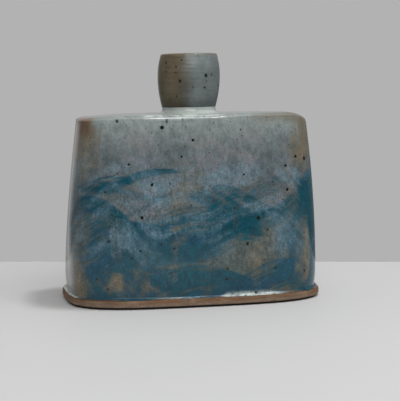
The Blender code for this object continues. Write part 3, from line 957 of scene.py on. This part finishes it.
def bare_clay(colours):
    """Bare fired clay: grog and grit, darker pores, an orange flash along the top edge, and painted shade,
    near black, along its lowest edge.
    """
    finish = Finish("bare_stoneware")
    height = finish.axis("Z")
    cloud = finish.noise(8)
    grit = finish.noise(0.8, detail=4, rough=0.75)
    patches = finish.noise(14, detail=2, rough=0.5)
    drag = finish.noise(1.8, finish.stretched((0.15, 0.15, 1.6)))
    line = finish.shift(height, (cloud, 4 * MM))
    flash = finish.times(
        finish.step(line, BASE_HIGH.z - 3.2 * MM, BASE_HIGH.z - 0.8 * MM),
        finish.step(patches, 0.34, 0.56, 0.35, 1.0))
    colour = finish.blend(flash, colours.clay, colours.rust)
    colour = finish.shaded(
        colour, finish.step(grit, 0.28, 0.72, 0.72, 1.24), finish.spread(cloud, 0.82, 1.14),
        finish.spread(drag, 0.84, 1.12))
    # Painted shade: the clay goes near black below 1.15 mm, fading out by 1.65 mm, for the shadow under the
    # foot's edge.
    colour = finish.shaded(colour, finish.step(height, 1.15 * MM, 1.65 * MM, 0.02, 1.0))
    iron = finish.specks(4, 0.3, 0.8)
    finish.paint(finish.blend(finish.times(iron, 0.8), colour, colours.iron))
    finish.gloss(finish.spread(grit, 0.7, 0.92))
    finish.relief((cloud, 0.3), (grit, 0.1), (iron, -0.15))
    return finish.material


def inner_clay(colours):
    """The rough clay of the coils inside, smeared along by a finger."""
    finish = Finish("inner_stoneware")
    smear = finish.noise(3, finish.stretched((1, 1, 3)))
    grit = finish.noise(0.9, detail=4, rough=0.75)
    tone = finish.step(finish.math("ADD", smear, grit), 0.7, 1.3, 0.65, 1.25)
    finish.paint(finish.shaded(colours.clay, tone))
    finish.gloss(finish.spread(grit, 0.8, 0.95))
    finish.relief((smear, 0.3), (grit, 0.1))
    return finish.material


class VASE_OT_body(bpy.types.Operator):
    """Build the glazed body: walls and shoulder as one skin with its own thickness"""

    bl_idname = "vase.body"
    bl_label = "Glazed body"

    def execute(self, context):
        body, colours = context.scene.vase_body, context.scene.vase_colours
        turn, girth = even_turns(BODY_COLUMNS, *wall_line(body))
        around = full_round(BODY_COLUMNS)
        points = body_rows(turn, around, body)
        mesh = surface_mesh("glazed_body", points)
        body_fields(mesh, around, points, girth)
        place(mesh, body_glaze(colours), "body_glaze",
              "front_wall", "back_wall", "left_end_wall", "right_end_wall", "shoulder_slab")
        return {"FINISHED"}


def torn_edge(around, z):
    """How far clay is torn from the foot slab's cut edge, in mm: two waves, and none on the flat faces."""
    waves = 0.14 * np.sin(9 * around + 200 * z) + 0.1 * np.sin(23 * around + 1.7)
    return np.abs(waves) if 0 < z < BASE_HIGH.z else 0


class VASE_OT_foot(bpy.types.Operator):
    """Build the bare foot slab with its cut edge"""

    bl_idname = "vase.foot"
    bl_label = "Foot slab"

    def execute(self, context):
        turn, _ = even_turns(FOOT_COLUMNS, BASE_HIGH.x, BASE_HIGH.y)
        around = full_round(FOOT_COLUMNS)
        rows = []
        for inset, height in FOOT_PROFILE:
            z = height / FOOT_PROFILE[-1][1] * BASE_HIGH.z
            drawn = (inset + torn_edge(around, z)) * MM
            x, y = superellipse(turn, BASE_HIGH.x - drawn, BASE_HIGH.y - drawn, 0.0)
            rows.append(np.stack([x, y, level(turn, z)], -1))
        mesh = surface_mesh("foot_slab", np.stack(rows), wrap=False)
        place(mesh, bare_clay(context.scene.vase_colours), "bare_stoneware", "base_slab")
        return {"FINISHED"}


def neck_profile(neck, foot, rim):
    """The neck's radius and height from the spigot up its outside, over the lip and down the bore.

    Two parabolas that meet at the belly make the outside, and half a flattened circle makes the lip. The
    third value says which points lie on the outside.
    """
    lip, belly = 0.3 * neck.wall, 0.6
    share = np.linspace(0, 1, NECK_ROWS)
    z = mix(foot, rim - lip, share)
    low = mix(neck.belly_radius, neck.foot_radius, (1 - share / belly) ** 2)
    high = mix(neck.belly_radius, neck.rim_radius, ((share - belly) / (1 - belly)) ** 2)
    outer = np.where(share < belly, low, high)
    swing = np.linspace(0, math.pi, LIP_ROWS)[1:-1]
    over = outer[-1] - neck.wall / 2 + neck.wall / 2 * np.cos(swing)
    over_z = rim - lip + lip * np.sin(swing) ** 0.8
    inside_z = np.linspace(rim - lip, foot, BORE_ROWS)
    inside = np.interp(inside_z, z, outer) - neck.wall
    under, spigot, bore = top_underside(), hole_radius() - SPIGOT_GAP, neck.foot_radius - neck.wall
    radius = np.concatenate([[spigot, spigot], outer, over, inside, [bore]])
    height = np.concatenate([[under, foot], z, over_z, inside_z, [under]])
    index = np.arange(len(radius))
    return radius, height, (index >= 2) & (index < 2 + len(outer))


class VASE_OT_neck(bpy.types.Operator):
    """Build the turned neck, with its throwing rings, lip and open bore"""

    bl_idname = "vase.neck"
    bl_label = "Neck"

    def execute(self, context):
        neck, colours = context.scene.vase_neck, context.scene.vase_colours
        foot = COLLAR_HIGH.z - neck.slope * neck.foot_radius
        rim = NECK_HIGH.z - neck.slope * neck.rim_radius
        turn = full_round(NECK_COLUMNS)
        rows = []
        for r, h, outside in zip(*neck_profile(neck, foot, rim)):
            ring = neck.ring_depth * np.sin(math.tau * h / neck.ring_pitch + 0.8 * np.sin(turn + 90 * h))
            stray = 0.12 * MM * np.sin(2 * turn + 60 * h) if h > foot else 0
            width = r + (ring if outside else 0) + stray
            x = width * np.cos(turn)
            rise = neck.slope * x if h > foot - 0.1 * MM else 0
            rows.append(np.stack([neck_middle() + x, width * np.sin(turn), level(turn, h) + rise], -1))
        mesh = surface_mesh("turned_neck", np.stack(rows))
        place(mesh, neck_glaze(colours), "neck_glaze", "neck")
        return {"FINISHED"}


class VASE_OT_collar(bpy.types.Operator):
    """Build the pool of pale glaze round the neck's foot"""

    bl_idname = "vase.collar"
    bl_label = "Collar"

    def execute(self, context):
        body, neck, colours = context.scene.vase_body, context.scene.vase_neck, context.scene.vase_colours
        turn = full_round(COLLAR_COLUMNS)
        foot = COLLAR_HIGH.z - neck.slope * neck.foot_radius
        share = np.linspace(0, 1, COLLAR_ROWS)
        radius = neck.foot_radius - 0.1 * MM + 0.5 * MM * share + 3.0 * MM * share**5
        inner = hole_radius() + 0.2 * MM
        radius = np.concatenate([radius, [inner, inner]])
        share = np.concatenate([share, [1, 0]])
        rows = []
        for r, down in zip(radius, share):
            x = neck_middle() + r * np.cos(turn)
            upper = foot + neck.slope * r * np.cos(turn)
            height = mix(upper, top_level(x, body) - 0.04 * MM, down)
            rows.append(np.stack([x, r * np.sin(turn), height], -1))
        mesh = surface_mesh("collar_pool", np.stack(rows))
        place(mesh, pooled_glaze(colours), "collar_glaze", "neck_collar")
        return {"FINISHED"}


class VASE_OT_coils(bpy.types.Operator):
    """Finish the coils inside, which keep the shape of the frame"""

    bl_idname = "vase.coils"
    bl_label = "Inner coils"

    def execute(self, context):
        finish = inner_clay(context.scene.vase_colours)
        for name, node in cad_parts.items():
            if name.endswith("_coil"):
                node.data.materials.clear()
                node.data.materials.append(finish)
        return {"FINISHED"}


def seen(right, away, up, turn):
    """A place as the camera sees it: to its right, away from it past the vase, and up from the floor."""
    cosine, sine = math.cos(turn), math.sin(turn)
    return Vector((right * cosine + away * sine, -right * sine + away * cosine, up))


def add_lamp(name, place_at, size, power, colour=(1, 1, 1)):
    """A soft rectangular lamp, aimed at the vase."""
    lamp = bpy.data.lights.new(name, "AREA")
    lamp.shape = "RECTANGLE"
    lamp.size, lamp.size_y = size
    lamp.energy = power
    lamp.color = colour
    holder = bpy.data.objects.new(name, lamp)
    holder.location = place_at
    holder.rotation_euler = (LAMP_AIM - place_at).to_track_quat("-Z", "Y").to_euler()
    bpy.context.scene.collection.objects.link(holder)


def add_camera(studio):
    """The camera, set so that its horizon falls on the photograph's and its lens matches its focal length."""
    data = bpy.data.cameras.new("camera")
    data.sensor_width = SENSOR
    data.lens = FOCAL_PIXELS * SENSOR / FRAME_HEIGHT
    data.clip_start, data.clip_end = 0.02, 20
    camera = bpy.data.objects.new("camera", data)
    camera.location = seen(studio.aside, -studio.distance, studio.height, studio.turn)
    tilt = math.atan((FRAME_HEIGHT / 2 - HORIZON_ROW) / FOCAL_PIXELS)
    camera.rotation_euler = (math.pi / 2 - tilt, 0, -studio.turn)
    bpy.context.scene.collection.objects.link(camera)
    bpy.context.scene.camera = camera


def add_floor(studio):
    """A plain pale floor that ends in a straight line behind the vase, square to the camera."""
    reach, back = FLOOR_REACH, studio.floor_back
    corners = [(-reach, -reach), (reach, -reach), (reach, back), (-reach, back)]
    mesh = bpy.data.meshes.new("floor")
    mesh.from_pydata([seen(right, away, 0, studio.turn) for right, away in corners], [], [(0, 1, 2, 3)])
    floor = bpy.data.objects.new("floor", mesh)
    bpy.context.scene.collection.objects.link(floor)
    finish = Finish("floor")
    finish.paint(tuple(studio.floor_colour))
    finish.surface.inputs["Roughness"].default_value = 0.6
    mesh.materials.append(finish.material)


def light_world(studio):
    """A soft sky, dim at the horizon, brighter overhead and behind the vase. The camera sees the backdrop."""
    world = bpy.data.worlds.new("studio")
    world.use_nodes = True
    bpy.context.scene.world = world
    sky = Nodes(world.node_tree)
    ray = sky.node("ShaderNodeTexCoord", {}).outputs["Generated"]
    glows = []
    for way, span in (((0, 0, 1), OVERHEAD_GLOW), (seen(*BEHIND_WAY, studio.turn), BEHIND_GLOW)):
        toward = sky.node("ShaderNodeVectorMath", {0: ray, 1: way}, operation="DOT_PRODUCT")
        glows.append(sky.step(toward.outputs["Value"], *span))
    light = sky.tree.nodes["Background"]
    sky.feed(light.inputs["Color"], (1, 1, 1))
    sky.feed(light.inputs["Strength"], sky.math("ADD", *glows))
    shown = sky.node("ShaderNodeBackground", {"Color": studio.backdrop})
    straight = sky.node("ShaderNodeLightPath", {}).outputs["Is Camera Ray"]
    feeds = {"Fac": straight, 1: light.outputs["Background"], 2: shown.outputs["Background"]}
    chosen = sky.node("ShaderNodeMixShader", feeds)
    sky.feed(sky.tree.nodes["World Output"].inputs["Surface"], chosen.outputs["Shader"])


class VASE_OT_stage(bpy.types.Operator):
    """Build the floor, the lamps, the world and the camera"""

    bl_idname = "vase.stage"
    bl_label = "Stage"

    def execute(self, context):
        studio = context.scene.vase_studio
        turn = studio.turn
        add_lamp("sky_lamp", seen(0.1, 0.1, 1.1, turn), size=(1.2, 1.0), power=0.9, colour=(1, 0.99, 0.97))
        add_lamp("strip_lamp", Vector((0.2, -0.08, 1.1)), size=(0.14, 0.12), power=4.4)
        add_lamp("window_lamp", seen(0.9, -0.5, 1.3, turn), size=(0.5, 0.9), power=5.0)
        add_lamp("front_lamp", seen(0.2, -1.3, 0.9, turn), size=(1.1, 0.7), power=10.0)
        add_floor(studio)
        light_world(studio)
        add_camera(studio)
        context.scene.view_settings.view_transform = "Standard"
        return {"FINISHED"}


class VASE_PT_panel(bpy.types.Panel):
    """Lists the vase's pieces, sizes and colours in the 3D view's sidebar"""

    bl_idname = "VASE_PT_panel"
    bl_label = "Slab bottle vase"
    bl_space_type = "VIEW_3D"
    bl_region_type = "UI"
    bl_category = "Vase"

    def draw(self, context):
        for operator in OPERATORS:
            self.layout.operator(operator.bl_idname)
        for group in GROUPS:
            values = getattr(context.scene, group)
            box = self.layout.box()
            for name in values.bl_rna.properties.keys():
                if name not in ("rna_type", "name"):
                    box.prop(values, name)


OPERATORS = (VASE_OT_body, VASE_OT_foot, VASE_OT_neck, VASE_OT_collar, VASE_OT_coils, VASE_OT_stage)
GROUPS = {
    "vase_body": BodySizes,
    "vase_neck": NeckSizes,
    "vase_colours": GlazeColours,
    "vase_studio": StudioSettings,
}


def register():
    """Makes the pieces' operators, the panel and the groups of sizes and colours known."""
    for group, kind in GROUPS.items():
        bpy.utils.register_class(kind)
        setattr(bpy.types.Scene, group, bpy.props.PointerProperty(type=kind))
    for kind in (*OPERATORS, VASE_PT_panel):
        bpy.utils.register_class(kind)


def unregister():
    """Takes away again what register has made known."""
    for kind in (VASE_PT_panel, *reversed(OPERATORS)):
        bpy.utils.unregister_class(kind)
    for group, kind in GROUPS.items():
        delattr(bpy.types.Scene, group)
        bpy.utils.unregister_class(kind)


def main():
    """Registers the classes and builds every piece."""
    register()
    bpy.ops.vase.body()
    bpy.ops.vase.foot()
    bpy.ops.vase.neck()
    bpy.ops.vase.collar()
    bpy.ops.vase.coils()
    bpy.ops.vase.stage()


if __name__ == "__main__":
    main()
